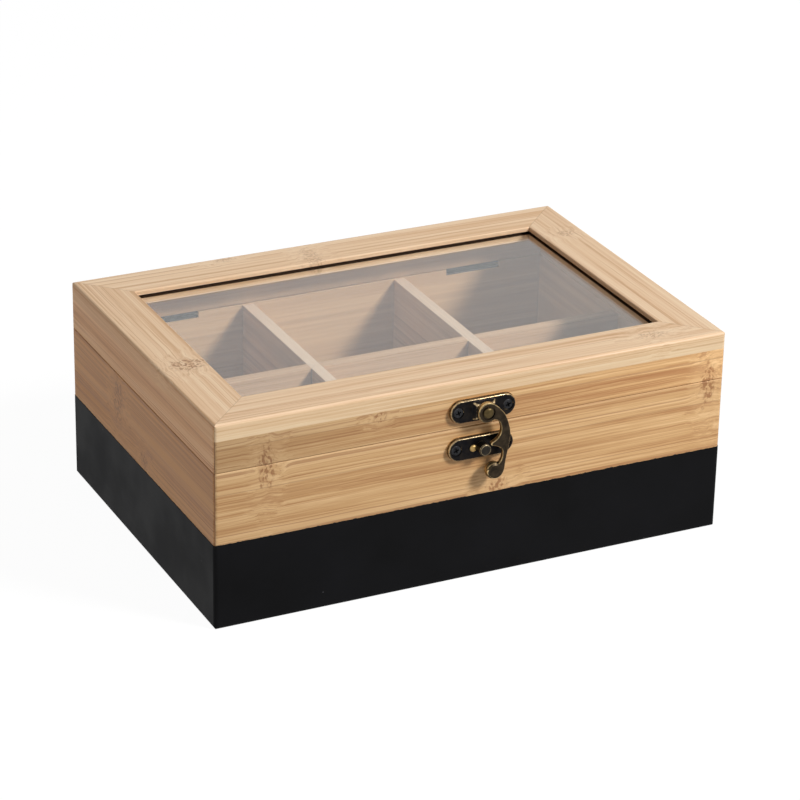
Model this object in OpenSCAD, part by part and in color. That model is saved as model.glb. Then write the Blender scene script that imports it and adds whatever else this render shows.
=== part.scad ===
// Tea bag organizer box: bamboo box with six compartments, a hinged lid with a glass pane,
// and a bronze swing hook latch. Origin at the centre of the underside, front towards -Y.

/* [Box] */
// Width across the front, bare wood
box_w = 220; // [190:1:300]
// Depth from front to back, bare wood
box_d = 150; // [130:1:220]
// Height of the closed box
box_h = 86; // [80:0.5:120]
// Height of the lid
lid_h = 20; // [19:0.5:24]
// Gap between the lid and the base when closed
seam_gap = 0.2; // [0.1:0.05:0.3]
// Thickness of the walls and of the lid rails
wall_t = 7.5; // [7:0.25:9]
// Rounding of the outer edges
edge_r = 1.5; // [1.45:0.05:1.8]
// Rounding of the edges along the seam, except at the back
seam_r = 0.4; // [0.3:0.1:0.9]
// Height of the painted band above the table
paint_h = 35.8; // [12:0.2:44]
// Thickness of the paint film
paint_t = 0.15; // [0.1:0.05:0.3]

/* [Bottom panel and dividers] */
// Thickness of the bottom panel
panel_t = 3; // [2.5:0.5:5]
// How far the bottom panel reaches under the walls
panel_lap = 3.5; // [2:0.25:4]
// Thickness of the dividers
divider_t = 4.8; // [4:0.2:6]
// Height of the rim above the tops of the dividers
divider_drop = 0.5; // [0.3:0.1:4]
// Clearance on each side of a divider in its notch
notch_play = 0.1; // [0.05:0.05:0.3]

/* [Lid frame and glass] */
// Width of the strips of the top frame
strip_w = 20; // [16:0.5:26]
// Thickness of the strips
strip_t = 7; // [6.5:0.25:8]
// Thickness of the glass pane
glass_t = 1.5; // [1.2:0.1:2.2]
// Depth of the glass below the top of the frame
glass_drop = 2.8; // [2.4:0.1:3.2]
// Gap above the glass in its groove
groove_gap = 0.9; // [0.2:0.1:1.1]
// Depth of the groove in the strips
groove_d = 4; // [3:0.25:6]
// Clearance around the edge of the glass
glass_play = 0.5; // [0.3:0.1:1]

/* [Hinges] */
// Distance of the middle of each hinge from the end of the box
hinge_inset = 40; // [32:0.5:50]
// Length of a hinge
hinge_len = 25; // [22:0.5:30]
// Thickness of a closed hinge over both leaves
hinge_h = 3; // [3:0.1:3.4]
// Thickness of a leaf
leaf_t = 0.8; // [0.7:0.05:0.9]
// Diameter of the knuckles
knuckle_d = 2.4; // [2.3:0.05:2.5]
// Number of knuckles
knuckle_count = 5; // [3:2:7]
// Diameter of the hinge pin
pin_d = 1; // [0.8:0.05:1.1]
// Distance of the pin from the back of the box
pin_inset = 1.2; // [1.1:0.05:1.3]
// Running clearance around the pin and the rivet
run_play = 0.05; // [0.03:0.01:0.08]
// Clearance at the ends of a hinge in its slot and between knuckles
hinge_play = 0.2; // [0.15:0.05:0.3]
// Distance between the screws of a leaf
hinge_screw_pitch = 16; // [13:0.5:17]
// Diameter of the hinge screws
hinge_screw_d = 1.6; // [1.4:0.1:1.8]
// Diameter of their heads
hinge_head_d = 2.9; // [2.6:0.1:3]
// Length of the hinge screws
hinge_screw_len = 6; // [5:0.5:8]

/* [Latch] */
// Offset of the hasp plate from the middle, as screwed on by hand
hasp_x = 1.4; // [-10:0.1:10]
// Offset of the keeper plate from the middle
keeper_x = 0.9; // [-10:0.1:10]
// Height of the middle of the hasp plate above the underside of the lid
hasp_rise = 7.2; // [6.8:0.1:9]
// Depth of the middle of the keeper plate below the rim of the base
keeper_drop = 8.5; // [7.8:0.1:11]
// Length of both plates
plate_len = 28.4; // [27:0.2:32]
// Width of both plates
plate_w = 9.8; // [9.2:0.2:11]
// Thickness of both plates
plate_t = 2; // [1.8:0.1:2.4]
// Height of the raised bridge of the hasp plate
bridge_h = 4; // [3.6:0.1:4.4]
// Length of the top of the bridge
bridge_len = 8; // [6.4:0.1:9]
// Width of the top of the bridge
bridge_w = 6.4; // [5:0.2:8]
// Inward slope of the long sides of the plates
plate_draft = 0.6; // [0.2:0.1:0.8]
// Distance between the screws of a plate
plate_screw_pitch = 21.4; // [20:0.2:22]
// Diameter of the latch screws
plate_screw_d = 2.4; // [2:0.1:2.6]
// Diameter of their heads
plate_head_d = 4.4; // [4:0.1:4.8]
// Length of the latch screws
plate_screw_len = 8; // [7:0.5:8.5]
// Thickness of the hook
hook_t = 2.1; // [1.8:0.1:2.4]
// Diameter of the eye of the hook
eye_d = 8.4; // [8:0.1:9]
// Diameter of the rivet
rivet_d = 2.4; // [2:0.1:2.8]
// Diameter of the head of the rivet
rivet_head_d = 4.3; // [4:0.1:4.6]
// Height of the head of the rivet
rivet_head_h = 1.1; // [0.8:0.1:1.4]
// Diameter of the finger knob at the end of the hook
knob_d = 7; // [6:0.1:7.4]
// Thickness of the finger knob
knob_t = 3.8; // [2.2:0.1:3.8]
// Diameter of the catch stud
stud_d = 5; // [4.6:0.1:5.2]
// Height of the stud above the wood
stud_h = 6; // [5.6:0.1:6.8]
// Diameter of the round bump beside the stud
bump_d = 3; // [2.4:0.1:3.2]

/* [Hidden] */

// Heights of the rim of the base, the underside of the lid and the underside of the top frame
rim_z = box_h - lid_h - seam_gap;
lid_z = box_h - lid_h;
frame_z = box_h - strip_t;
// Inner size of the base
inner_w = box_w - 2 * wall_t;
inner_d = box_d - 2 * wall_t;
// Easing of the edges that are not on the outside
ease_r = 0.5;
// Facets in a quarter of a rounded edge
quarter_n = 6;
// Angle of the mitres
mitre_a = 45;
// Small overlap of cutting shapes
cut = 1;

divider_z = rim_z - divider_drop;
divider_x = (inner_w - 2 * divider_t) / 6 + divider_t / 2;
lap_z = (panel_t + divider_z) / 2;

glass_z = box_h - glass_drop - glass_t;
open_w = box_w - 2 * strip_w;
open_d = box_d - 2 * strip_w;

hinge_x = box_w / 2 - hinge_inset;
pin_y = box_d / 2 - pin_inset;
pin_z = lid_z - hinge_h / 2;
leaf_w = wall_t - pin_inset - ease_r;
slot_z = pin_z - hinge_h / 2;
knuckle_clear = 0.3;
knuckle_len = hinge_len / knuckle_count;
hinge_screw_y = (knuckle_d / 2 + leaf_w) / 2;
// Play of a screw in its hole
screw_play = 0.05;

hasp_z = lid_z + hasp_rise;
keeper_z = rim_z - keeper_drop;
front_y = -box_d / 2;
bridge_ramp = 1.6;
// Distance from the pivot down to the stud
throw = hasp_z - keeper_z;
// Gap that lets the hook turn between the bridge and the head of the rivet
hook_gap = 0.1;
hook_back = bridge_h + hook_gap;
hook_front = hook_back + hook_t;
// Round recess in the eye for the head of the rivet
eye_sink = 0.5;
sink_rim = 0.8;
rivet_seat = hook_front - eye_sink + hook_gap;
// Depth of the heads of the latch screws below the face of the plate, and of the screws in the wood
head_sink = 0.4;
latch_screw_depth = plate_screw_len + head_sink - plate_t;
// Chamfer of the stud
stud_ease = 0.5;
// How far the round bump runs into the stud and stands above the plate
bump_lap = 0.4;
bump_h = 0.8;

// Points of an arc around c, from angle a0 to a1
function arc(c, r, a0, a1, n) =
  [for (i = [0:n]) let (a = a0 + (a1 - a0) * i / n) c + r * [cos(a), sin(a)]];

// Points of a closed smooth curve through the points p, n steps to a stretch
function smooth_loop(p, n) =
  [for (i = [0:len(p) - 1]) for (k = [0:n - 1])
    let (
      t = k / n,
      a = p[(i + len(p) - 1) % len(p)],
      b = p[i],
      c = p[(i + 1) % len(p)],
      d = p[(i + 2) % len(p)]
    )
    b + t * (c - a) / 2 + t * t * (2 * a - 5 * b + 4 * c - d) / 2
      + t * t * t * (3 * b - a - 3 * c + d) / 2];

// The back edges at the seam are rounder, so that the lid swings past the back wall
function seam_rounding(side) = side == 2 ? edge_r : seam_r;

// Sections of the boards, as [distance from the outer face, height], with rounding r at the seam
function wall_section(r) = concat(
  arc([edge_r, edge_r], edge_r, 270, 180, quarter_n),
  arc([r, rim_z - r], r, 180, 90, quarter_n),
  arc([wall_t - ease_r, rim_z - ease_r], ease_r, 90, 0, 3),
  [[wall_t, panel_t], [wall_t - panel_lap, panel_t], [wall_t - panel_lap, 0]]
);
function rail_section(r) = concat(
  [[wall_t, frame_z], [wall_t, lid_z + ease_r]],
  arc([wall_t - ease_r, lid_z + ease_r], ease_r, 0, -90, 3),
  arc([r, lid_z + r], r, 270, 180, quarter_n),
  [[0, frame_z]]
);
function strip_section() = concat(
  [[0, frame_z]],
  arc([edge_r, box_h - edge_r], edge_r, 180, 90, quarter_n),
  arc([strip_w - ease_r, box_h - ease_r], ease_r, 90, 0, 3),
  [
    [strip_w, glass_z + glass_t + groove_gap],
    [strip_w - groove_d, glass_z + glass_t + groove_gap],
    [strip_w - groove_d, glass_z],
    [strip_w, glass_z],
    [strip_w, frame_z]
  ]
);

// Plan of a board with mitred ends, its outer face on Y = 0, with rounded outer corners
function mitre_plan(length, depth) = concat(
  arc([length / 2 - edge_r, edge_r], edge_r, -mitre_a, -90, quarter_n),
  arc([edge_r - length / 2, edge_r], edge_r, -90, -90 - mitre_a, quarter_n),
  [[depth - length / 2, depth], [length / 2 - depth, depth]]
);

// Board of the given section, mitred at both ends
module mitred_board(length, depth, section) {
  intersection() {
    rotate([90, 0, 90]) linear_extrude(length, center = true) polygon(section);
    translate([0, 0, -cut]) linear_extrude(box_h + 2 * cut) polygon(mitre_plan(length, depth));
  }
}

// Puts a board on one side of the box: 0 front, 1 right, 2 back, 3 left
module on_side(side) {
  rotate([0, 0, 90 * side]) translate([0, side % 2 == 0 ? -box_d / 2 : -box_w / 2, 0]) children();
}
function side_length(side) = side % 2 == 0 ? box_w : box_d;

module wall(side) {
  on_side(side) mitred_board(side_length(side), wall_t, wall_section(seam_rounding(side)));
}
module rail(side) {
  on_side(side) mitred_board(side_length(side), wall_t, rail_section(seam_rounding(side)));
}
module strip(side) {
  on_side(side) mitred_board(side_length(side), strip_w, strip_section());
}

// Places its children at a hinge, side -1 left or 1 right, with X along the pin and Z up from it
module at_hinge(side) {
  translate([side * hinge_x, pin_y, pin_z]) children();
}
module at_hinges() {
  for (side = [-1, 1]) at_hinge(side) children();
}

// Places its children at the two screws of a hinge leaf, seen from the pin
module at_leaf_screws() {
  for (s = [-1, 1]) translate([s * hinge_screw_pitch / 2, -hinge_screw_y, 0]) children();
}

// Places its children at a plate of the latch, with Z out of the front of the box
module at_plate(x, z) {
  translate([x, front_y, z]) rotate([90, 0, 0]) children();
}
module at_plate_screws() {
  for (s = [-1, 1]) translate([s * plate_screw_pitch / 2, 0, 0]) children();
}

// Front wall with the pilot holes of the keeper
module front_wall() {
  color("burlywood") difference() {
    wall(0);
    at_plate(keeper_x, keeper_z) at_plate_screws() screw_hole(plate_screw_d, latch_screw_depth);
  }
}

// Back wall with a slot for each hinge
module back_wall() {
  color("burlywood") difference() {
    wall(2);
    at_hinges() {
      translate([-hinge_len / 2 - hinge_play, -wall_t, slot_z - pin_z])
        cube([hinge_len + 2 * hinge_play, 2 * wall_t, hinge_h + cut]);
      rotate([0, 90, 0])
        cylinder(h = hinge_len + 2 * hinge_play, d = knuckle_d + 2 * knuckle_clear, center = true, $fn = 48);
      translate([0, 0, -hinge_h / 2]) at_leaf_screws() mirror([0, 0, 1])
        screw_hole(hinge_screw_d, hinge_screw_len - leaf_t, into = -1);
    }
  }
}

module left_wall() {
  color("burlywood") wall(3);
}

module right_wall() {
  color("burlywood") wall(1);
}

// Box with rounded upright corners and a rounded lower edge, as big as the walls plus grow
module rounded_block(grow, height) {
  r = edge_r + grow;
  plan = concat(
    arc([box_w / 2 - edge_r, box_d / 2 - edge_r], r, 0, 90, 2 * quarter_n),
    arc([edge_r - box_w / 2, box_d / 2 - edge_r], r, 90, 180, 2 * quarter_n),
    arc([edge_r - box_w / 2, edge_r - box_d / 2], r, 180, 270, 2 * quarter_n),
    arc([box_w / 2 - edge_r, edge_r - box_d / 2], r, 270, 360, 2 * quarter_n)
  );
  intersection() {
    linear_extrude(height) polygon(plan);
    rotate([90, 0, 90]) linear_extrude(2 * box_w, center = true) polygon(keel(box_d / 2, r, height));
    rotate([90, 0, 0]) linear_extrude(2 * box_d, center = true) polygon(keel(box_w / 2, r, height));
  }
}
// Front view of a block with rounded lower edges around the same centres as the walls
function keel(half, r, height) = concat(
  arc([edge_r - half, edge_r], r, 180, 270, quarter_n),
  arc([half - edge_r, edge_r], r, 270, 360, quarter_n),
  [[half - edge_r + r, height], [edge_r - half - r, height]]
);

// Black paint on the outside of the lower part of the walls
module paint_coat() {
  color([0.09, 0.09, 0.1]) difference() {
    rounded_block(paint_t, paint_h);
    rounded_block(0, paint_h + cut);
  }
}

// Bottom panel, let into the walls from below
module bottom_panel() {
  color("burlywood") translate([-inner_w / 2 - panel_lap, -inner_d / 2 - panel_lap, 0])
    cube([inner_w + 2 * panel_lap, inner_d + 2 * panel_lap, panel_t]);
}

// Divider from front to back, notched from below where it crosses the cross divider
module long_divider(x) {
  translate([x, 0, 0]) difference() {
    translate([-divider_t / 2, -inner_d / 2, panel_t]) cube([divider_t, inner_d, divider_z - panel_t]);
    translate([-divider_t, -divider_t / 2 - notch_play, 0])
      cube([2 * divider_t, divider_t + 2 * notch_play, lap_z]);
  }
}
module left_divider() {
  color("tan") long_divider(-divider_x);
}
module right_divider() {
  color("tan") long_divider(divider_x);
}

// Divider from side to side, notched from above for the other two
module cross_divider() {
  color("tan") difference() {
    translate([-inner_w / 2, -divider_t / 2, panel_t]) cube([inner_w, divider_t, divider_z - panel_t]);
    for (s = [-1, 1])
      translate([s * divider_x - divider_t / 2 - notch_play, -divider_t, lap_z])
        cube([divider_t + 2 * notch_play, 2 * divider_t, box_h]);
  }
}

// Front rail of the lid with the pilot holes of the hasp
module lid_front_rail() {
  color("burlywood") difference() {
    rail(0);
    at_plate(hasp_x, hasp_z) at_plate_screws() screw_hole(plate_screw_d, latch_screw_depth);
  }
}

// Back rail of the lid with the pilot holes of the hinges
module lid_back_rail() {
  color("burlywood") difference() {
    rail(2);
    at_hinges() translate([0, 0, hinge_h / 2]) at_leaf_screws() mirror([0, 0, 1])
      screw_hole(hinge_screw_d, hinge_screw_len - leaf_t);
  }
}

module lid_left_rail() {
  color("burlywood") rail(3);
}

module lid_right_rail() {
  color("burlywood") rail(1);
}

module frame_front_strip() {
  color("burlywood") strip(0);
}

module frame_back_strip() {
  color("burlywood") strip(2);
}

module frame_left_strip() {
  color("burlywood") strip(3);
}

module frame_right_strip() {
  color("burlywood") strip(1);
}

// Glass pane, lying on the lower lip of the groove
module glass_pane() {
  edge = 2 * (groove_d - glass_play);
  color([0.75, 0.85, 0.85, 0.4])
    translate([-(open_w + edge) / 2, -(open_d + edge) / 2, glass_z])
      cube([open_w + edge, open_d + edge, glass_t]);
}

// Hole for a screw, going down from Z = 0, or up when into is -1
module screw_hole(d, depth, into = 1) {
  translate([0, 0, into == 1 ? -depth - screw_play : -cut])
    cylinder(h = depth + screw_play + cut, d = d + 2 * screw_play, $fn = 32);
}

// Countersunk screw with a cross recess, its flat face at Z = 0 and its point down
module wood_screw(d, head_d, length, dome = 0) {
  head_h = (head_d - d) / 2;
  slot = head_d / 7;
  difference() {
    rotate_extrude($fn = 48) polygon([
      [0, dome], [head_d / 4, dome * 0.75], [head_d / 2, 0], [d / 2, -head_h],
      [d / 2, -length + d / 2], [0, -length]
    ]);
    for (a = [0, 90]) rotate([0, 0, a])
      translate([-head_d * 0.3, -slot / 2, dome - head_h * 0.7]) cube([head_d * 0.6, slot, head_h + dome]);
  }
}

// Leaf of a hinge that lies below its pin, with every second knuckle, starting at knuckle `first`
module hinge_leaf(first) {
  own = [first:2:knuckle_count - 1];
  other = [1 - first:2:knuckle_count - 1];
  difference() {
    union() {
      translate([-hinge_len / 2, -leaf_w, -hinge_h / 2]) cube([hinge_len, leaf_w, leaf_t]);
      for (i = own) translate([(i + 0.5) * knuckle_len - hinge_len / 2, 0, 0]) rotate([90, 0, 90])
        cylinder(h = knuckle_len - hinge_play, d = knuckle_d, center = true, $fn = 48);
    }
    for (i = other)
      translate([i * knuckle_len - hinge_len / 2 - hinge_play / 2, -knuckle_d / 2 - knuckle_clear, -hinge_h])
        cube([knuckle_len + hinge_play, knuckle_d, 2 * hinge_h]);
    rotate([90, 0, 90]) cylinder(h = 2 * hinge_len, d = pin_d + 2 * run_play, center = true, $fn = 32);
    at_leaf_screws() translate([0, 0, leaf_t - hinge_h / 2]) countersink(hinge_screw_d, hinge_head_d, leaf_t);
  }
}

// Countersunk hole for a screw whose face is at Z = 0
module countersink(d, head_d, depth) {
  rotate_extrude($fn = 48) polygon([
    [0, cut], [head_d / 2 + screw_play, cut], [head_d / 2 + screw_play, 0],
    [d / 2 + screw_play, (d - head_d) / 2], [d / 2 + screw_play, -depth - cut], [0, -depth - cut]
  ]);
}

module hinge_base_leaf(side) {
  color([0.5, 0.5, 0.5]) at_hinge(side) hinge_leaf(0);
}
module left_hinge_base_leaf() {
  hinge_base_leaf(-1);
}
module right_hinge_base_leaf() {
  hinge_base_leaf(1);
}

module hinge_lid_leaf(side) {
  color([0.5, 0.5, 0.5]) at_hinge(side) mirror([0, 0, 1]) hinge_leaf(1);
}
module left_hinge_lid_leaf() {
  hinge_lid_leaf(-1);
}
module right_hinge_lid_leaf() {
  hinge_lid_leaf(1);
}

module hinge_pin(side) {
  color("silver") at_hinge(side) rotate([0, 90, 0])
    cylinder(h = hinge_len, d = pin_d, center = true, $fn = 32);
}
module left_hinge_pin() {
  hinge_pin(-1);
}
module right_hinge_pin() {
  hinge_pin(1);
}

module hinge_base_screws() {
  color("silver") at_hinges() at_leaf_screws() translate([0, 0, leaf_t - hinge_h / 2])
    wood_screw(hinge_screw_d, hinge_head_d, hinge_screw_len);
}

module hinge_lid_screws() {
  color("silver") at_hinges() mirror([0, 0, 1]) at_leaf_screws() translate([0, 0, leaf_t - hinge_h / 2])
    wood_screw(hinge_screw_d, hinge_head_d, hinge_screw_len);
}

// Plate with round ends and sloping long sides, whose outline from the side is `crown`
module latch_plate(crown) {
  r = plate_w / 2;
  middle = plate_len / 2 - r;
  difference() {
    intersection() {
      linear_extrude(bridge_h) polygon(concat(
        arc([middle, 0], r, -90, 90, 4 * quarter_n),
        arc([-middle, 0], r, 90, 270, 4 * quarter_n)
      ));
      rotate([90, 0, 0]) linear_extrude(2 * plate_w, center = true) polygon(crown);
      rotate([90, 0, 90]) linear_extrude(2 * plate_len, center = true)
        polygon([[-r, 0], [r, 0], [r - plate_draft, plate_t], [bridge_w / 2, bridge_h],
          [-bridge_w / 2, bridge_h], [plate_draft - r, plate_t]]);
    }
    at_plate_screws() translate([0, 0, plate_t - head_sink])
      countersink(plate_screw_d, plate_head_d, plate_t);
  }
}

// Plate on the lid, raised in the middle into a bridge that carries the rivet
module hasp_plate() {
  half = plate_len / 2;
  top = bridge_len / 2;
  foot = top + bridge_ramp;
  color([0.27, 0.21, 0.13]) at_plate(hasp_x, hasp_z) difference() {
    latch_plate([[-half, 0], [half, 0], [half - plate_draft, plate_t], [foot, plate_t], [top, bridge_h],
      [-top, bridge_h], [-foot, plate_t], [plate_draft - half, plate_t]]);
    translate([0, 0, -cut]) cylinder(h = bridge_h + 2 * cut, d = rivet_d + 2 * screw_play, $fn = 48);
  }
}

// Screw of a latch plate, with a slightly domed head
module latch_screw() {
  translate([0, 0, plate_t - head_sink]) wood_screw(plate_screw_d, plate_head_d, plate_screw_len, dome = 0.3);
}

module hasp_screws() {
  color([0.2, 0.19, 0.17]) at_plate(hasp_x, hasp_z) at_plate_screws() latch_screw();
}

// Rivet of the hook, with a domed head
module pivot_rivet() {
  color([0.4, 0.34, 0.2]) at_plate(hasp_x, hasp_z) rotate_extrude($fn = 64) polygon([
    [0, 0], [rivet_d / 2, 0], [rivet_d / 2, rivet_seat], [rivet_head_d / 2, rivet_seat],
    [rivet_head_d / 2, rivet_seat + rivet_head_h * 0.6], [rivet_head_d / 3, rivet_seat + rivet_head_h],
    [0, rivet_seat + rivet_head_h]
  ]);
}

// Outline of the hook from its eye round the back of the arm, the tail, the mouth and the beak,
// with the distance from the rivet to the stud as 1
hook_outline = [
  [0.08, 0.20], [0.23, 0.14], [0.35, 0.02], [0.45, -0.10], [0.52, -0.25], [0.575, -0.41], [0.61, -0.57],
  [0.615, -0.73], [0.60, -0.87], [0.58, -1.01], [0.55, -1.14], [0.52, -1.29], [0.50, -1.43], [0.47, -1.62],
  [0.38, -1.76], [0.23, -1.80], [0.09, -1.72], [0.03, -1.59], [0.10, -1.52], [0.19, -1.51],
  [0.285, -1.465], [0.38, -1.375], [0.425, -1.285], [0.44, -1.17], [0.41, -1.03], [0.365, -0.995],
  [0.29, -0.945], [0.18, -0.905], [0.12, -0.885], [0.115, -0.855], [0.22, -0.785], [0.315, -0.705],
  [0.37, -0.60], [0.385, -0.49], [0.36, -0.37], [0.30, -0.265], [0.21, -0.21], [-0.05, -0.12]
];
// Middle of the finger knob, in the same unit
knob_at = [0.23, -1.61];

// Hook that turns on the rivet and reaches under the stud
module swing_hook() {
  color([0.33, 0.27, 0.16]) at_plate(hasp_x, hasp_z) difference() {
    union() {
      translate([0, 0, hook_back]) linear_extrude(hook_t) polygon(smooth_loop(throw * hook_outline, 4));
      translate([0, 0, hook_back]) cylinder(h = hook_t, d = eye_d, $fn = 64);
      translate([throw * knob_at[0], throw * knob_at[1], hook_front - knob_t])
        cylinder(h = knob_t, d = knob_d, $fn = 64);
    }
    cylinder(h = 2 * hook_front, d = rivet_d + 2 * run_play, $fn = 48);
    translate([0, 0, hook_front - eye_sink])
      cylinder(h = hook_front, d = rivet_head_d + 2 * sink_rim, $fn = 64);
  }
}

// Plate on the base, with a round bump and a hole for the stud
module keeper_plate() {
  half = plate_len / 2;
  color([0.27, 0.21, 0.13]) at_plate(keeper_x, keeper_z) difference() {
    union() {
      latch_plate([[-half, 0], [half, 0], [half - plate_draft, plate_t], [plate_draft - half, plate_t]]);
      translate([bump_lap - (stud_d + bump_d) / 2, 0, plate_t - cut])
        cylinder(h = cut + bump_h, d = bump_d, $fn = 48);
    }
    translate([0, 0, -cut]) cylinder(h = plate_t + 2 * cut, d = rivet_d + 2 * screw_play, $fn = 48);
    translate([0, 0, plate_t]) cylinder(h = cut, d = stud_d + 2 * screw_play, $fn = 64);
  }
}

module keeper_screws() {
  color([0.2, 0.19, 0.17]) at_plate(keeper_x, keeper_z) at_plate_screws() latch_screw();
}

// Stud that the hook catches, riveted into the keeper plate
module catch_stud() {
  color([0.33, 0.3, 0.24]) at_plate(keeper_x, keeper_z) rotate_extrude($fn = 64) polygon([
    [0, 0], [rivet_d / 2, 0], [rivet_d / 2, plate_t], [stud_d / 2, plate_t],
    [stud_d / 2, stud_h - stud_ease], [stud_d / 2 - stud_ease, stud_h], [0, stud_h]
  ]);
}

front_wall();
back_wall();
left_wall();
right_wall();
paint_coat();
bottom_panel();
left_divider();
right_divider();
cross_divider();
lid_front_rail();
lid_back_rail();
lid_left_rail();
lid_right_rail();
frame_front_strip();
frame_back_strip();
frame_left_strip();
frame_right_strip();
glass_pane();
left_hinge_base_leaf();
left_hinge_lid_leaf();
left_hinge_pin();
right_hinge_base_leaf();
right_hinge_lid_leaf();
right_hinge_pin();
hinge_base_screws();
hinge_lid_screws();
hasp_plate();
hasp_screws();
pivot_rivet();
swing_hook();
keeper_plate();
keeper_screws();
catch_stud();
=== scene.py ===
import bmesh
import bpy
import math
from mathutils import Matrix, Vector


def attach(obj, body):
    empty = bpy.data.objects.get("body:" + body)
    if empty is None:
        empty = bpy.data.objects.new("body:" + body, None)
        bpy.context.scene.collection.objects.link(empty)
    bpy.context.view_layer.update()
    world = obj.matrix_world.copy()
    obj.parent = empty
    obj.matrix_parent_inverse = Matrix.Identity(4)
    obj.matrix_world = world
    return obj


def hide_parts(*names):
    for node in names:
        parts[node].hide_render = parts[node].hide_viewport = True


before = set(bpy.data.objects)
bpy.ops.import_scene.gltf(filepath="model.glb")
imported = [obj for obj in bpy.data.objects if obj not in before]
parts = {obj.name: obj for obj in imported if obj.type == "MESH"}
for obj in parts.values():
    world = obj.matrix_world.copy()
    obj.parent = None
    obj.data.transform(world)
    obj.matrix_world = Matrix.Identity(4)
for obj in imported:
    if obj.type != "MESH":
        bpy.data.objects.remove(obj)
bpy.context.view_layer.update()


# Front wall and front rail of the lid. One bamboo board, glued up from three lamellas and sawn apart
# after the box was closed, so grain and node marks run on across the seam. Mitred and glued at the ends.
half_width, half_depth, box_height = 0.110, 0.075, 0.086
wall = 0.0075
lid_bottom = 0.066
paint_height = 0.0358
skin = 0.0002


def srgb(red, green, blue):
    """Linear colour for a colour of a picture, 0 to 255"""
    return tuple((value / 255 / 12.92 if value < 10.3 else ((value / 255 + 0.055) / 1.055) ** 2.4)
                 for value in (red, green, blue)) + (1,)


def add(material, kind, inputs=None, **settings):
    """Adds a shader node with its settings, and joins or sets its inputs"""
    made = material.node_tree.nodes.new("ShaderNode" + kind)
    for key, value in settings.items():
        setattr(made, key, value)
    for key, value in (inputs or {}).items():
        if isinstance(value, bpy.types.NodeSocket):
            material.node_tree.links.new(value, made.inputs[key])
        else:
            made.inputs[key].default_value = value
    return made


def calc(material, operation, *values):
    return add(material, "Math", dict(enumerate(values)), operation=operation).outputs[0]


def fade(material, value, start, end, low=0.0, high=1.0):
    """Goes smoothly from low at start to high at end"""
    inputs = {0: value, 1: start, 2: end, 3: low, 4: high}
    return add(material, "MapRange", inputs, interpolation_type="SMOOTHSTEP").outputs[0]


def mix(material, factor, first, second, how="MIX"):
    inputs = {0: factor, 6: first, 7: second}
    return add(material, "Mix", inputs, data_type="RGBA", blend_type=how).outputs[2]


def ramp(material, factor, *stops):
    made = add(material, "ValToRGB", {0: factor})
    for position, colour in stops[2:]:
        made.color_ramp.elements.new(position)
    for element, (position, colour) in zip(made.color_ramp.elements, stops):
        element.position = position
        element.color = colour
    return made.outputs[0]


def streaks(material, place, grain, along, across, detail=2.0, roughness=0.5):
    """Noise drawn out along the grain, with its scales in cells a metre"""
    scale = [across] * 3
    scale[grain] = along
    moved = add(material, "Mapping", {"Vector": place, "Scale": scale}).outputs[0]
    inputs = {"Vector": moved, "Scale": 1.0, "Detail": detail, "Roughness": roughness}
    return add(material, "TexNoise", inputs).outputs[0]


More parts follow.
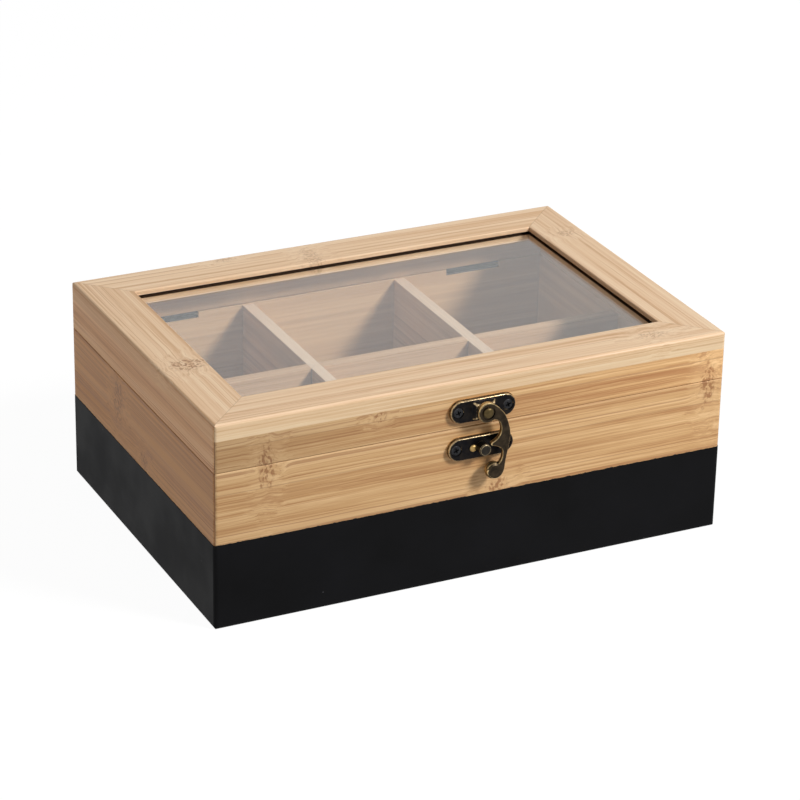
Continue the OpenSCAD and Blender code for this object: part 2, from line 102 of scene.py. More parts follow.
def bamboo(name, grain, across, pale, middle, deep, seed, seams=(), marks=(), painted=False, drift=0.0,
           rail_drift=0.0, mark_tone=0.78, mitre_tone=0.8, grooved=False, lit_top_height=0.0, side_shading=None):
    """Bamboo with its grain along axis `grain`, lamella seams and node marks placed on axis `across`.

    Each mark has its place along and across the grain and its half sizes. The board is painted lighter along
    the grain by drift, and in the lid by rail_drift more, a metre, as painted light. `painted` is for a wall
    with the black coat, `lit_top_height` is the height of a top edge painted lighter as painted light, and
    `side_shading` tints the outer side of a strip darker as painted shade.
    """
    material = bpy.data.materials.new(name)
    material.use_nodes = True
    shader = material.node_tree.nodes["Principled BSDF"]
    place = add(material, "TexCoord").outputs["Object"]
    axes = add(material, "SeparateXYZ", {0: place}).outputs
    # Each lamella has its own stretch of grain
    lamella = seed
    for seam in seams:
        lamella = calc(material, "ADD", lamella, calc(material, "GREATER_THAN", axes[across], seam))
    shift = add(material, "CombineXYZ", {
        0: calc(material, "MULTIPLY", lamella, 0.317),
        1: calc(material, "MULTIPLY", lamella, 0.193),
        2: calc(material, "MULTIPLY", lamella, 0.271)
    }).outputs[0]
    own = add(material, "VectorMath", {0: place, 1: shift}, operation="ADD").outputs[0]
    # The grain swirls round the nodes of the culm
    knot = halo = 0.0
    rough_edge = streaks(material, own, grain, 500, 350, 3)
    for mark_u, mark_v, half_u, half_v in marks:
        du = calc(material, "DIVIDE", calc(material, "SUBTRACT", axes[grain], mark_u), half_u)
        dv = calc(material, "DIVIDE", calc(material, "SUBTRACT", axes[across], mark_v), half_v)
        reach = calc(material, "SQRT", calc(material, "ADD", calc(material, "MULTIPLY", du, du),
                                            calc(material, "MULTIPLY", dv, dv)))
        reach = calc(material, "ADD", reach, calc(material, "MULTIPLY_ADD", rough_edge, 1.6, -0.8))
        knot = calc(material, "MAXIMUM", knot, fade(material, reach, 1.25, 0.55))
        halo = calc(material, "MAXIMUM", halo, fade(material, reach, 3.4, 0.9))
    swirl = add(material, "VectorMath", {
        0: add(material, "TexNoise", {"Vector": own, "Scale": 95.0, "Detail": 1.0}).outputs[1],
        1: (0.5, 0.5, 0.5)
    }, operation="SUBTRACT").outputs[0]
    swirl = add(material, "VectorMath", {
        0: swirl, "Scale": calc(material, "MULTIPLY_ADD", halo, 0.006, 0.0003)
    }, operation="SCALE").outputs[0]
    own = add(material, "VectorMath", {0: own, 1: swirl}, operation="ADD").outputs[0]
    broad = streaks(material, own, grain, 3, 210, 2)
    narrow = streaks(material, own, grain, 6, 940, 5, 0.68)
    fibre = streaks(material, own, grain, 24, 2400, 2)
    pore = streaks(material, own, grain, 4, 1150, 2)
    tone = calc(material, "ADD", calc(material, "MULTIPLY", broad, 0.36),
                calc(material, "MULTIPLY", narrow, 0.44))
    tone = calc(material, "MULTIPLY_ADD", fibre, 0.2, tone)
    colour = ramp(material, tone, (0.4, deep), (0.49, middle), (0.58, pale))
    dark_line = fade(material, pore, 0.57, 0.68, 0.0, 0.55)
    brown = (deep[0] * 0.74, deep[1] * 0.6, deep[2] * 0.46, 1)
    colour = mix(material, dark_line, colour, brown)
    if marks:
        colour = mix(material, calc(material, "MULTIPLY", halo, 0.25), colour, pale)
        speck = add(material, "TexNoise", {
            "Vector": add(material, "Mapping", {"Vector": own, "Scale": (1, 1, 0.6)}).outputs[0],
            "Scale": 900.0, "Detail": 2.0
        }).outputs[0]
        spotted = calc(material, "MULTIPLY", knot,
                       fade(material, speck, 0.45, 0.58, mark_tone / 8, mark_tone))
        colour = mix(material, spotted, colour, srgb(134, 84, 44))
    out_x = calc(material, "ABSOLUTE", axes[0])
    out_y = calc(material, "ABSOLUTE", axes[1])
    # Glue lines between the lamellas, and the mitres, which run at 45 degrees from the outer corners
    glue = 0.0
    for seam in seams:
        gap = calc(material, "ABSOLUTE", calc(material, "SUBTRACT", axes[across], seam))
        glue = calc(material, "MAXIMUM", glue, fade(material, gap, 0.00035, 0.0, 0.0, 0.35))
    mitre = calc(material, "SUBTRACT", calc(material, "SUBTRACT", out_x, out_y), half_width - half_depth)
    mitre = calc(material, "ABSOLUTE", mitre)
    joint = calc(material, "MAXIMUM", glue, fade(material, mitre, 0.0004, 0.0001, 0.0, mitre_tone))
    colour = mix(material, joint, colour, srgb(118, 76, 44))
    # The board is painted lighter towards one end along the grain, more in the lid, as painted light
    if drift:
        in_lid = calc(material, "GREATER_THAN", axes[2], lid_bottom)
        slope = calc(material, "MULTIPLY_ADD", in_lid, rail_drift, drift)
        painted_light_gradient = calc(material, "MULTIPLY_ADD", axes[grain], slope, 1.0)
        colour = add(material, "VectorMath", {0: colour, "Scale": painted_light_gradient}, operation="SCALE").outputs[0]
    if side_shading:
        # The outer sides of the strips, sanded flush with the rails, are painted darker than their tops as
        # painted shade
        rounding = 0.0015
        outer = calc(material, "MAXIMUM", calc(material, "GREATER_THAN", out_x, half_width - rounding),
                     calc(material, "GREATER_THAN", out_y, half_depth - rounding))
        outer = calc(material, "MULTIPLY", outer,
                     fade(material, axes[2], box_height - 0.0003, box_height - 0.0011))
        colour = mix(material, outer, colour, side_shading, "MULTIPLY")
    if painted:
        # The inside was sanded smooth before the box was glued up
        sanded = calc(material, "MULTIPLY", calc(material, "LESS_THAN", out_x, half_width - wall + skin),
                      calc(material, "LESS_THAN", out_y, half_depth - wall + skin))
        colour = mix(material, calc(material, "MULTIPLY", sanded, 0.6), colour, srgb(198, 161, 124))
        # Only the outer skin takes the paint
        edge = calc(material, "MULTIPLY_ADD", streaks(material, place, grain, 500, 40, 3), 0.0011,
                    paint_height - 0.0005)
        outside = calc(material, "MAXIMUM", calc(material, "GREATER_THAN", out_x, half_width - skin),
                       calc(material, "GREATER_THAN", out_y, half_depth - skin))
        crept = calc(material, "MULTIPLY", outside, calc(material, "LESS_THAN", axes[2], edge))
        colour = mix(material, crept, colour, srgb(20, 19, 19))
    if lit_top_height:
        # The top edge is painted lighter than the faces, as painted light
        painted_top_light = fade(material, axes[2], lit_top_height - 0.0003, lit_top_height, 0.0, 0.55)
        colour = mix(material, painted_top_light, colour, srgb(234, 212, 190))
    if grooved:
        # The groove for the glass is painted dark, as painted shade, with a ragged upper edge
        groove_shade_inset, groove_shade_bottom, groove_shade_top = 0.0147, 0.0816, 0.0828
        groove_shade_edge = calc(material, "MULTIPLY_ADD", streaks(material, place, grain, 260, 900, 3), 0.0014,
                      groove_shade_top)
        inside = calc(material, "MULTIPLY", calc(material, "LESS_THAN", out_x, half_width - groove_shade_inset),
                      calc(material, "LESS_THAN", out_y, half_depth - groove_shade_inset))
        band = calc(material, "MULTIPLY", calc(material, "GREATER_THAN", axes[2], groove_shade_bottom),
                    calc(material, "LESS_THAN", axes[2], groove_shade_edge))
        colour = mix(material, calc(material, "MULTIPLY", inside, band), colour, srgb(52, 35, 22))
    material.node_tree.links.new(colour, shader.inputs["Base Color"])
    material.node_tree.links.new(fade(material, narrow, 0.3, 0.7, 0.5, 0.62), shader.inputs["Roughness"])
    height = calc(material, "ADD", fibre, calc(material, "MULTIPLY", narrow, 0.8))
    relief = add(material, "Bump", {"Height": height, "Strength": 0.5, "Distance": 0.00008})
    material.node_tree.links.new(relief.outputs[0], shader.inputs["Normal"])
    return material


def finish(piece, material):
    piece.data.materials.clear()
    piece.data.materials.append(material)


wall_pale = srgb(216, 178, 130)
wall_middle = srgb(194, 152, 102)
wall_deep = srgb(166, 118, 73)
front_board = bamboo("bamboo_front", 0, 2, wall_pale, wall_middle, wall_deep, 1.0, seams=(0.0565, 0.0752),
                     marks=((-0.0888, 0.0655, 0.0035, 0.0095), (-0.042, 0.0768, 0.0035, 0.0022),
                            (0.1028, 0.065, 0.0035, 0.0095), (0.009, 0.0385, 0.005, 0.003)),
                     painted=True, drift=0.8, rail_drift=1.7)
finish(parts["front_wall"], front_board)
finish(parts["lid_front_rail"], front_board)


# Back wall and back rail of the lid, one bamboo board glued up and sawn apart like the front one.
# Mitred and glued at the ends, with a slot for each hinge.
back_board = bamboo("bamboo_back", 0, 2, wall_pale, wall_middle, wall_deep, 7.0, seams=(0.054, 0.0738),
                    painted=True)
finish(parts["back_wall"], back_board)
finish(parts["lid_back_rail"], back_board)


# Left and right walls with the side rails of the lid, boards of the same make across the ends of the box.
# The left wall takes a darker, more orange copy of the wall colours as painted shade,
# and the left rail a paler one as painted light.
shaded_left_board = bamboo("bamboo_left", 1, 2, srgb(203, 149, 95), srgb(180, 125, 73), srgb(148, 93, 48), 13.0,
                    seams=(0.0578,), marks=((0.024, 0.0545, 0.005, 0.0105), (-0.0035, 0.0395, 0.004, 0.0035)),
                    painted=True, drift=1.3)
finish(parts["left_wall"], shaded_left_board)
lit_left_rail_board = bamboo("bamboo_left_rail", 1, 2, srgb(236, 189, 142), srgb(222, 168, 118),
                         srgb(192, 134, 86), 14.0, drift=0.5)
finish(parts["lid_left_rail"], lit_left_rail_board)
right_board = bamboo("bamboo_right", 1, 2, wall_pale, wall_middle, wall_deep, 19.0, seams=(0.055, 0.0768),
                     marks=((-0.041, 0.066, 0.004, 0.0105),), painted=True)
finish(parts["right_wall"], right_board)
finish(parts["lid_right_rail"], right_board)


# Coat of black paint, rolled on the lower part of the walls in a thin satin film.
# It shows the grain faintly, and its upper edge creeps a little along the fibres.
coat = bpy.data.materials.new("black_coat")
coat.use_nodes = True
coat_shader = coat.node_tree.nodes["Principled BSDF"]
coat_place = add(coat, "TexCoord").outputs["Object"]
coat_grain = streaks(coat, coat_place, 2, 900, 60, 2)
coat_cloud = add(coat, "TexNoise", {"Vector": coat_place, "Scale": 40.0, "Detail": 3.0}).outputs[0]
coat_colour = ramp(coat, coat_cloud, (0.3, srgb(12, 12, 13)), (0.7, srgb(18, 18, 20)))
coat_dust = add(coat, "TexVoronoi", {"Vector": coat_place, "Scale": 110.0})
dust_chance = add(coat, "SeparateXYZ", {0: coat_dust.outputs["Color"]}).outputs[0]
dust_here = calc(coat, "MULTIPLY", fade(coat, coat_dust.outputs["Distance"], 0.035, 0.015),
                 calc(coat, "GREATER_THAN", dust_chance, 0.72))
coat_colour = mix(coat, calc(coat, "MULTIPLY", dust_here, 0.22), coat_colour, srgb(150, 150, 155))
coat.node_tree.links.new(coat_colour, coat_shader.inputs["Base Color"])
coat.node_tree.links.new(fade(coat, coat_cloud, 0.3, 0.7, 0.5, 0.62), coat_shader.inputs["Roughness"])
coat_shader.inputs["Specular IOR Level"].default_value = 0.05
coat_relief = add(coat, "Bump", {"Height": coat_grain, "Strength": 0.35, "Distance": 0.00005})
coat.node_tree.links.new(coat_relief.outputs[0], coat_shader.inputs["Normal"])
finish(parts["paint_coat"], coat)


# Bottom panel, a thin bamboo board glued up from eight lamellas, let into the walls from below
# and glued. It is bare underneath.
panel_board = bamboo("bamboo_panel", 0, 1, wall_pale, wall_middle, wall_deep, 23.0,
                     seams=(-0.054, -0.034, -0.0145, 0.0055, 0.0255, 0.0455, 0.0648),
                     marks=((0.045, -0.0445, 0.003, 0.009), (-0.07, 0.035, 0.003, 0.009)))
finish(parts["bottom_panel"], panel_board)


# Dividers, three thin bamboo boards half-lapped into each other and glued between the walls.
# The two long ones have their top edge painted lighter, as painted light.
inside_pale = srgb(208, 171, 134)
inside_middle = srgb(192, 152, 115)
inside_deep = srgb(174, 134, 95)
long_board = bamboo("bamboo_long_dividers", 1, 2, inside_pale, inside_middle, inside_deep, 29.0,
                    seams=(0.024, 0.044), lit_top_height=0.0652)
finish(parts["left_divider"], long_board)
finish(parts["right_divider"], long_board)
cross_board = bamboo("bamboo_cross_divider", 0, 2, inside_pale, inside_middle, inside_deep, 31.0,
                     seams=(0.026, 0.046))
finish(parts["cross_divider"], cross_board)


# Strips of the top frame, bamboo glued flat on the lid rails, with mitred corners where the grain turns.
# A groove sawn along their inner sides holds the glass.
strip_pale = srgb(236, 208, 174)
strip_middle = srgb(225, 190, 153)
strip_deep = srgb(203, 162, 120)
front_strip = bamboo("bamboo_front_strip", 0, 1, strip_pale, strip_middle, strip_deep, 37.0,
                     marks=((0.081, -0.0655, 0.006, 0.0035),), mark_tone=0.4, mitre_tone=0.25, grooved=True,
                     side_shading=(0.9, 0.91, 0.86, 1))
finish(parts["frame_front_strip"], front_strip)
# The back strip takes a lighter copy of the strip colours, as painted light.
back_strip = bamboo("bamboo_back_strip", 0, 1, srgb(240, 212, 179), srgb(231, 197, 160),
                    srgb(212, 171, 128), 41.0,
                    marks=((-0.044, 0.072, 0.005, 0.0025), (-0.009, 0.06, 0.004, 0.011)), mark_tone=0.35,
                    mitre_tone=0.25, grooved=True, side_shading=(0.88, 0.84, 0.76, 1))
finish(parts["frame_back_strip"], back_strip)
left_strip = bamboo("bamboo_left_strip", 1, 0, strip_pale, strip_middle, strip_deep, 43.0,
                    marks=((-0.02, -0.098, 0.005, 0.0075),), mitre_tone=0.25, grooved=True,
                    side_shading=(0.96, 0.8, 0.64, 1))
finish(parts["frame_left_strip"], left_strip)
right_strip = bamboo("bamboo_right_strip", 1, 0, strip_pale, strip_middle, strip_deep, 47.0,
                     marks=((0.0425, 0.1015, 0.003, 0.0045),), mark_tone=0.4, mitre_tone=0.25, grooved=True,
                     side_shading=(0.88, 0.84, 0.76, 1))
finish(parts["frame_right_strip"], right_strip)


# Glass pane, plain clear window glass, held in the groove of the frame strips.
# It reflects the surroundings and lets the light of the lamps pass straight through.
glass = bpy.data.materials.new("clear_glass")
glass.use_nodes = True
glass.node_tree.nodes.clear()
clear = add(glass, "BsdfGlass", {"Roughness": 0.0, "IOR": 1.5, "Color": (0.985, 0.995, 0.99, 1)})
rays = add(glass, "LightPath").outputs
lit = calc(glass, "MAXIMUM", rays["Is Shadow Ray"], rays["Is Diffuse Ray"])
pane = add(glass, "MixShader", {0: lit, 1: clear.outputs[0], 2: add(glass, "BsdfTransparent").outputs[0]})
add(glass, "OutputMaterial", {0: pane.outputs[0]})
finish(parts["glass_pane"], glass)


# Hinges, two small butt hinges of pressed steel with five knuckles, plated and a little dull and painted dark
# as painted shade, with their pins and countersunk screws. The base leaves lie in the slots of the back wall.
steel = bpy.data.materials.new("plated_steel")
steel.use_nodes = True
steel_shader = steel.node_tree.nodes["Principled BSDF"]
steel_place = add(steel, "TexCoord").outputs["Object"]
steel_brush = streaks(steel, steel_place, 0, 400, 5000, 2)
steel_stain = add(steel, "TexNoise", {"Vector": steel_place, "Scale": 300.0, "Detail": 3.0}).outputs[0]
steel_tone = calc(steel, "ADD", calc(steel, "MULTIPLY", steel_brush, 0.4),
                  calc(steel, "MULTIPLY", steel_stain, 0.6))
# The plating is painted dark, as painted shade of the slots
steel.node_tree.links.new(ramp(steel, steel_tone, (0.35, srgb(46, 48, 54)), (0.62, srgb(108, 111, 117))),
                          steel_shader.inputs["Base Color"])
steel.node_tree.links.new(fade(steel, steel_stain, 0.35, 0.65, 0.28, 0.45), steel_shader.inputs["Roughness"])
steel_shader.inputs["Metallic"].default_value = 1.0
for name in ("left_hinge_base_leaf", "right_hinge_base_leaf", "left_hinge_lid_leaf", "right_hinge_lid_leaf",
             "left_hinge_pin", "right_hinge_pin", "hinge_base_screws", "hinge_lid_screws"):
    finish(parts[name], steel)


# Hasp plate, cast in zinc and finished in antique bronze: dark in the hollows, rubbed bright on the edges.
# A low bridge in its middle carries the rivet, and two countersunk screws hold it to the lid.
hasp_at = (0.0014, 0.0732)
plate_length, plate_width, plate_height = 28.4, 9.8, 2.0
screw_reach = 10.7


def spun(*profile, at=(0, 0)):
    """Closed body spun round an upright axis from (radius, height) points in mm"""
    mesh = bmesh.new()
    points = [mesh.verts.new((radius, 0, height)) for radius, height in profile]
    for first, second in zip(points, points[1:]):
        mesh.edges.new((first, second))
    bmesh.ops.spin(mesh, geom=mesh.verts[:] + mesh.edges[:], cent=(0, 0, 0), axis=(0, 0, 1),
                   angle=math.tau, steps=64, use_merge=True)
    bmesh.ops.remove_doubles(mesh, verts=mesh.verts, dist=0.001)
    bmesh.ops.recalc_face_normals(mesh, faces=mesh.faces)
    bmesh.ops.translate(mesh, verts=mesh.verts, vec=(at[0], at[1], 0))
    return mesh


def slab(length, width, low, high, top_length, top_width, rounding):
    """Block in mm that narrows upwards, with rounded upper edges"""
    mesh = bmesh.new()
    bmesh.ops.create_cube(mesh, size=1)
    for vert in mesh.verts:
        top = vert.co.z > 0
        vert.co.x *= top_length if top else length
        vert.co.y *= top_width if top else width
        vert.co.z = high if top else low
    edges = [edge for edge in mesh.edges if any(vert.co.z > (low + high) / 2 for vert in edge.verts)]
    bmesh.ops.bevel(mesh, geom=edges, affect="EDGES", offset=rounding, segments=4, profile=0.5, material=-1)
    return mesh


def oval_plate():
    """Plate in mm with round ends and drafted, rounded edges"""
    draft = 0.3
    mesh = bmesh.new()
    bmesh.ops.create_circle(mesh, cap_ends=True, segments=96, radius=plate_width / 2)
    for vert in mesh.verts:
        vert.co.x += math.copysign((plate_length - plate_width) / 2, vert.co.x)
    grown = bmesh.ops.extrude_face_region(mesh, geom=mesh.faces[:])["geom"]
    for vert in grown:
        if isinstance(vert, bmesh.types.BMVert):
            vert.co.z = plate_height
            vert.co.x -= math.copysign(draft, vert.co.x)
            vert.co.y *= 1 - 2 * draft / plate_width
    rim = [edge for edge in mesh.edges if all(vert.co.z > 1 for vert in edge.verts)]
    bmesh.ops.bevel(mesh, geom=rim, affect="EDGES", offset=0.5, segments=4, profile=0.5, material=-1)
    bmesh.ops.recalc_face_normals(mesh, faces=mesh.faces)
    return mesh


def screw_sinks():
    """Countersunk holes for the two screws of a plate, in mm"""
    sink = (0, -1), (1.25, -1), (1.25, 0.55), (2.28, 1.58), (2.28, 3), (0, 3)
    return [spun(*sink, at=(side * screw_reach, 0)) for side in (-1, 1)]


def as_object(name, mesh):
    data = bpy.data.meshes.new(name)
    mesh.to_mesh(data)
    mesh.free()
    made = bpy.data.objects.new(name, data)
    bpy.context.scene.collection.objects.link(made)
    return made


def apply_modifiers(made):
    """Puts the result of an object's modifiers in its mesh"""
    made.data = bpy.data.meshes.new_from_object(made.evaluated_get(bpy.context.evaluated_depsgraph_get()))
    made.modifiers.clear()


def cast(name, bodies, cutters, at, material, soften=5, grain=0.15, side_shading=0.0, recess=0.0):
    """One casting from overlapping bodies: fused, its edges softened, then bored, and put on the box front.

    Its sides are painted lighter by `side_shading` than its face, as painted sheen, and nothing is rubbed
    within `recess` of its middle.
    """
    whole = bmesh.new()
    for body in bodies:
        data = bpy.data.meshes.new("body")
        body.to_mesh(data)
        body.free()
        whole.from_mesh(data)
        bpy.data.meshes.remove(data)
    piece = as_object(name, whole)
    fuse = piece.modifiers.new("fuse", "REMESH")
    fuse.mode = "VOXEL"
    fuse.voxel_size = grain
    ease = piece.modifiers.new("ease", "SMOOTH")
    ease.iterations = soften
    apply_modifiers(piece)
    # Where an edge stands out, the finish is rubbed through
    shaped = bmesh.new()
    shaped.from_mesh(piece.data)
    wear_and_sheen = shaped.verts.layers.float.new("wear_and_sheen")
    raised = {vert: (vert.co - sum((edge.other_vert(vert).co for edge in vert.link_edges), Vector())
                     / len(vert.link_edges)).dot(vert.normal) / grain for vert in shaped.verts}
    for _ in range(3):
        raised = {vert: (raised[vert] + sum(raised[edge.other_vert(vert)] for edge in vert.link_edges))
                  / (1 + len(vert.link_edges)) for vert in shaped.verts}
    # On top of the edge wear, the sides are painted lighter by flank, as painted sheen
    for vert, value in raised.items():
        vert[wear_and_sheen] = value + side_shading * (1 - abs(vert.normal.z))
    shaped.to_mesh(piece.data)
    shaped.free()
    for cutter in cutters:
        tool = as_object("cutter", cutter)
        bore = piece.modifiers.new("bore", "BOOLEAN")
        bore.object = tool
        bore.solver = "EXACT"
        apply_modifiers(piece)
        bpy.data.objects.remove(tool)
    for vert, wear_and_sheen_value in zip(piece.data.vertices, piece.data.attributes["wear_and_sheen"].data):
        if vert.co.xy.length < recess:
            wear_and_sheen_value.value = -1
    to_front = Matrix.Translation((at[0], -half_depth, at[1])) @ Matrix.Rotation(math.radians(90), 4, "X")
    piece.data.transform(to_front @ Matrix.Scale(0.001, 4))
    piece.data.shade_smooth()
    piece.data.set_sharp_from_angle(angle=math.radians(35))
    finish(piece, material)
    return piece


def antique(name, hollow, face, rubbed, rub_from, rub_to):
    """Antique bronze: a dark patina over the casting, and `rubbed` metal on rubbed edges and, as painted
    sheen, on the sides
    """
    material = bpy.data.materials.new(name)
    material.use_nodes = True
    shader = material.node_tree.nodes["Principled BSDF"]
    place = add(material, "TexCoord").outputs["Object"]
    cloud = add(material, "TexNoise", {"Vector": place, "Scale": 420.0, "Detail": 4.0,
                                       "Roughness": 0.6}).outputs[0]
    scuff = add(material, "TexNoise", {"Vector": place, "Scale": 1500.0, "Detail": 3.0}).outputs[0]
    colour = ramp(material, cloud, (0.35, hollow), (0.68, face))
    wear_and_sheen = add(material, "Attribute", attribute_name="wear_and_sheen").outputs["Fac"]
    wear_and_sheen = calc(material, "ADD", wear_and_sheen, calc(material, "MULTIPLY_ADD", scuff, 0.05, -0.025))
    rub = fade(material, wear_and_sheen, rub_from, rub_to)
    colour = mix(material, rub, colour, rubbed)
    material.node_tree.links.new(colour, shader.inputs["Base Color"])
    material.node_tree.links.new(fade(material, rub, 0.0, 1.0, 0.42, 0.28), shader.inputs["Roughness"])
    shader.inputs["Metallic"].default_value = 1.0
    relief = add(material, "Bump", {"Height": cloud, "Strength": 0.4, "Distance": 0.0001})
    material.node_tree.links.new(relief.outputs[0], shader.inputs["Normal"])
    return material


plate_bronze = antique("plate_bronze", srgb(22, 22, 25), srgb(38, 34, 31), srgb(222, 194, 148), 0.028, 0.085)
# Its sides are painted lighter, as painted sheen.
hasp = cast("hasp_casting", [oval_plate(), slab(11.4, 8.4, 1.0, 4.0, 7.6, 6.0, 0.5)], screw_sinks(),
            hasp_at, plate_bronze, side_shading=0.044)
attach(hasp, "lid")
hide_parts("hasp_plate")


# Keeper plate on the base, cast like the hasp plate but flat. The small round bump beside the stud
# is rubbed bright as brass.
keeper_at = (0.0009, 0.0573)
# Its sides are painted lighter too, as painted sheen.
keeper = cast("keeper_casting", [oval_plate()], screw_sinks(), keeper_at, plate_bronze, side_shading=0.044)
bump_brass = antique("bump_brass", srgb(150, 122, 74), srgb(186, 156, 102), srgb(228, 202, 150), 0.02, 0.1)
bump_profile = (0, 1.2), (1.5, 1.2), (1.5, 2.3), (1.2, 2.7), (0.6, 2.95), (0, 3)
bump = cast("keeper_bump", [spun(*bump_profile, at=(-3.6, 0))], [], keeper_at, bump_brass,
            soften=2, grain=0.12)
for piece in (keeper, bump):
    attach(piece, "base")
    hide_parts("keeper_plate")


# Latch screws, four countersunk steel screws with a cross recess, blackened. Two hold the hasp plate to the
# lid and two the keeper plate to the base, all sunk a little in the plates.
def cross_bit(x, turn):
    """One blade of a screwdriver's cross, tapered, in mm"""
    mesh = bmesh.new()
    for vert in bmesh.ops.create_cube(mesh, size=1)["verts"]:
        low = vert.co.z < 0
        vert.co.x *= 1.3 if low else 2.9
        vert.co.y *= 0.42 if low else 0.66
        vert.co.z = 0.75 if low else 2.6
    bmesh.ops.rotate(mesh, verts=mesh.verts, cent=(0, 0, 0),
                     matrix=Matrix.Rotation(math.radians(turn), 3, "Z"))
    bmesh.ops.translate(mesh, verts=mesh.verts, vec=(x, 0, 0))
    return mesh


screw_profile = (0, -6.4), (1.2, -5.2), (1.2, 0.6), (2.2, 1.6), (1.9, 1.78), (1.1, 1.88), (0, 1.92)
black_steel = antique("black_steel", srgb(36, 36, 38), srgb(60, 60, 62), srgb(118, 116, 114), 0.03, 0.12)
for name, place, body in (("hasp_screw_set", hasp_at, "lid"), ("keeper_screw_set", keeper_at, "base")):
    blanks = [spun(*screw_profile, at=(side * screw_reach, 0)) for side in (-1, 1)]
    bits = [cross_bit(side * screw_reach, turn) for side in (-1, 1) for turn in (20, 110)]
    heads = cast(name, blanks, bits, place, black_steel, soften=2, grain=0.12)
    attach(heads, body)
    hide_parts("hasp_screws" if body == "lid" else "keeper_screws")


# Pivot rivet with a domed head, of a brassier metal than the plates. It goes through the bridge of the
# hasp plate and the eye of the hook.
rivet_bronze = antique("rivet_bronze", srgb(66, 55, 35), srgb(94, 80, 52), srgb(176, 152, 104), 0.03, 0.1)
rivet_profile = (0, 0.2), (1.2, 0.2), (1.2, 5.8), (2.15, 5.8), (2.15, 6.4), (1.7, 6.85), (0, 6.95)
rivet = cast("rivet", [spun(*rivet_profile)], [], hasp_at, rivet_bronze, soften=4, grain=0.12)
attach(rivet, "lid")
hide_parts("pivot_rivet")


# Swing hook, a flat cast arm that turns on the rivet, curves out past the stud, catches it from below with
# its beak, and ends in a thick knob for the finger. The hand rubs it to a browner bronze than the plates.
hook_reach = 15.9
knob_at = (3.66, -25.6)
hook_outline = (
    (0.08, 0.20), (0.23, 0.14), (0.35, 0.02), (0.45, -0.10), (0.52, -0.25), (0.575, -0.41), (0.61, -0.57),
    (0.615, -0.73), (0.60, -0.87), (0.58, -1.01), (0.55, -1.14), (0.52, -1.29), (0.50, -1.43), (0.47, -1.62),
    (0.38, -1.76), (0.23, -1.80), (0.09, -1.72), (0.03, -1.59), (0.10, -1.52), (0.19, -1.51),
    (0.285, -1.465), (0.38, -1.375), (0.425, -1.285), (0.44, -1.17), (0.41, -1.03), (0.365, -0.995),
    (0.29, -0.945), (0.18, -0.905), (0.12, -0.885), (0.115, -0.855), (0.22, -0.785), (0.315, -0.705),
    (0.37, -0.60), (0.385, -0.49), (0.36, -0.37), (0.30, -0.265), (0.21, -0.21), (-0.05, -0.12)
)


def cut_out(outline, low, high, rounding):
    """Plate in mm cut to a smooth closed outline, with rounded edges"""
    curve = bpy.data.curves.new("outline", "CURVE")
    curve.dimensions = "2D"
    curve.fill_mode = "BOTH"
    curve.extrude = (high - low) / 2 - rounding
    curve.bevel_depth = rounding
    curve.offset = 0.15 - rounding
    curve.bevel_resolution = 3
    line = curve.splines.new("BEZIER")
    line.bezier_points.add(len(outline) - 1)
    line.use_cyclic_u = True
    line.resolution_u = 4
    for point, (x, y) in zip(line.bezier_points, outline):
        point.co = (x, y, 0)
        point.handle_left_type = point.handle_right_type = "AUTO"
    drawn = bpy.data.objects.new("outline", curve)
    bpy.context.scene.collection.objects.link(drawn)
    data = bpy.data.meshes.new_from_object(drawn.evaluated_get(bpy.context.evaluated_depsgraph_get()))
    mesh = bmesh.new()
    mesh.from_mesh(data)
    bpy.data.objects.remove(drawn)
    bpy.data.meshes.remove(data)
    bmesh.ops.remove_doubles(mesh, verts=mesh.verts, dist=0.001)
    bmesh.ops.recalc_face_normals(mesh, faces=mesh.faces)
    bmesh.ops.translate(mesh, verts=mesh.verts, vec=(0, 0, (low + high) / 2))
    return mesh


hook_bronze = antique("hook_bronze", srgb(40, 34, 27), srgb(64, 54, 42), srgb(220, 192, 140), 0.032, 0.1)
# Its sides are painted lighter, as painted sheen.
hook = cast("hook", [
    cut_out([(hook_reach * x, hook_reach * y) for x, y in hook_outline], 4.1, 6.2, 0.45),
    spun((0, 4.1), (4.0, 4.1), (4.2, 4.3), (4.2, 5.8), (3.85, 6.2), (0, 6.2)),
    spun((0, 2.4), (2.6, 2.4), (3.3, 3.0), (3.55, 4.2), (3.3, 5.5), (2.6, 6.15), (0, 6.3), at=knob_at)
], [
    spun((0, 3), (1.3, 3), (1.3, 5.7), (2.95, 5.7), (2.95, 8), (0, 8))
], hasp_at, hook_bronze, side_shading=0.06, recess=2.98)
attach(hook, "hook")
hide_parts("swing_hook")


# Catch stud, a short round post of bronzed metal riveted into the keeper plate. The hook has rubbed
# its rim bright.
stud_bronze = antique("stud_bronze", srgb(36, 34, 32), srgb(56, 51, 45), srgb(214, 190, 146), 0.022, 0.08)
stud_profile = (0, 0.2), (1.2, 0.2), (1.2, 2.0), (2.5, 2.0), (2.5, 5.5), (2.1, 5.95), (0, 6.05)
stud = cast("stud", [spun(*stud_profile)], [], keeper_at, stud_bronze, soften=4, grain=0.12)
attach(stud, "base")
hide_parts("catch_stud")


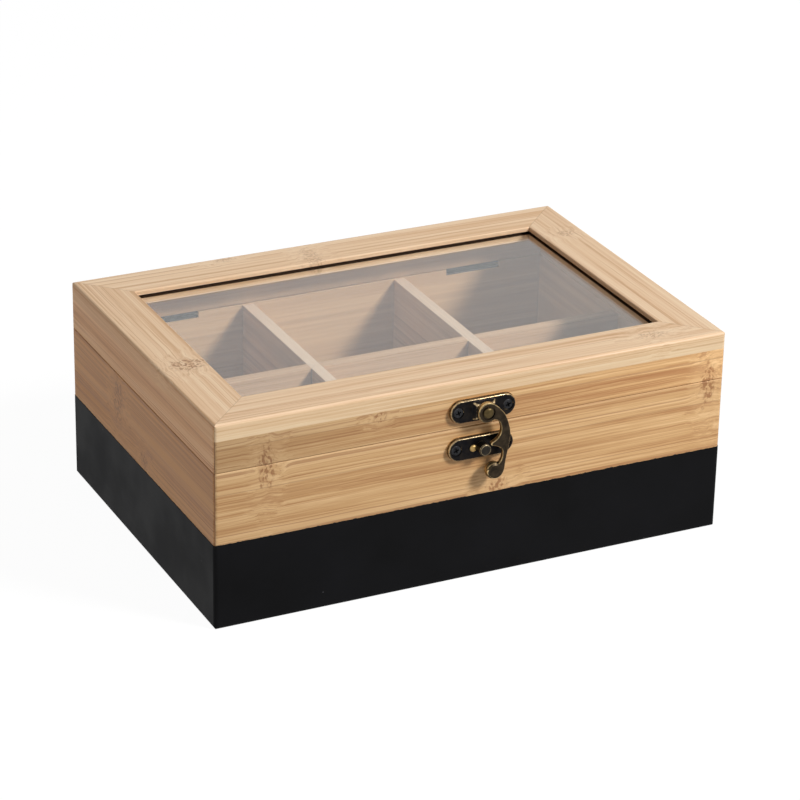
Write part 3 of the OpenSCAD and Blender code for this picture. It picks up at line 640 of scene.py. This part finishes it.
# Camera at the photograph's viewing angle. Its place is measured along its own axes from the middle
# of the box's foot: to the right, up, and back.
camera = bpy.data.objects.new("camera", bpy.data.cameras.new("camera"))
bpy.context.scene.collection.objects.link(camera)
azimuth, elevation, roll = math.radians(-26.149), math.radians(24.794), math.radians(1.16)
to_right, up, away = 0.003767, 0.040452, 1.343891
back = Vector((math.sin(azimuth) * math.cos(elevation), -math.cos(azimuth) * math.cos(elevation),
               math.sin(elevation)))
level = Vector((0, 0, 1)).cross(back).normalized()
upright = back.cross(level)
across = level * math.cos(roll) + upright * math.sin(roll)
above = -level * math.sin(roll) + upright * math.cos(roll)
camera.matrix_world = (Matrix.Translation(across * to_right + above * up + back * away)
                       @ Matrix((across, above, back)).transposed().to_4x4())
camera.data.lens = 146.5
camera.data.sensor_width = 36
camera.data.clip_end = 20
bpy.context.scene.camera = camera


# Studio: one soft lamp from the right front and a weak warm one from the left, a pale floor,
# and white surroundings.
def lamp(name, direction, distance, size, power, colour=(1, 1, 1)):
    """Round soft lamp that shines at the middle of the box's foot"""
    light = bpy.data.lights.new(name, "AREA")
    light.shape = "DISK"
    light.size = size
    light.energy = power
    light.color = colour
    made = bpy.data.objects.new(name, light)
    bpy.context.scene.collection.objects.link(made)
    towards = Vector(direction).normalized()
    turned = towards.to_track_quat("Z", "Y").to_matrix().to_4x4()
    made.matrix_world = Matrix.Translation(towards * distance) @ turned


def looked_at(tree_owner):
    """1 for rays that show a thing, straight, in a reflection or through glass, and 0 for rays that light"""
    rays_out = add(tree_owner, "LightPath").outputs
    return calc(tree_owner, "MAXIMUM", rays_out["Is Camera Ray"],
                calc(tree_owner, "MAXIMUM", rays_out["Is Glossy Ray"], rays_out["Is Transmission Ray"]))


lamp("key", (0.494, -0.594, 0.635), 2.4, 0.6, 58.0)
lamp("fill", (-0.95, -0.12, 0.3), 1.6, 0.9, 2.1, (1, 0.96, 0.9))

world = bpy.data.worlds.new("studio")
bpy.context.scene.world = world
world.use_nodes = True
sky = world.node_tree.nodes["Background"]
sky.inputs["Color"].default_value = (1, 1, 1, 1)
world.node_tree.links.new(fade(world, looked_at(world), 0.0, 1.0, 0.21, 1.0), sky.inputs["Strength"])

ground = bmesh.new()
bmesh.ops.create_grid(ground, x_segments=1, y_segments=1, size=3.0)
floor_mesh = bpy.data.meshes.new("floor")
ground.to_mesh(floor_mesh)
floor = bpy.data.objects.new("floor", floor_mesh)
bpy.context.scene.collection.objects.link(floor)
floor_paper = bpy.data.materials.new("floor_paper")
floor_paper.use_nodes = True
floor_paper.node_tree.nodes.clear()
shown = looked_at(floor_paper)
paper = add(floor_paper, "BsdfDiffuse", {"Color": (0.55, 0.55, 0.55, 1)}).outputs[0]
glow = add(floor_paper, "Emission", {"Color": (1, 1, 1, 1), "Strength": 1.09}).outputs[0]
sheet = add(floor_paper, "MixShader", {0: calc(floor_paper, "MULTIPLY", shown, 0.88), 1: paper, 2: glow})
add(floor_paper, "OutputMaterial", {0: sheet.outputs[0]})
floor.data.materials.append(floor_paper)

bpy.context.scene.view_settings.view_transform = "Standard"
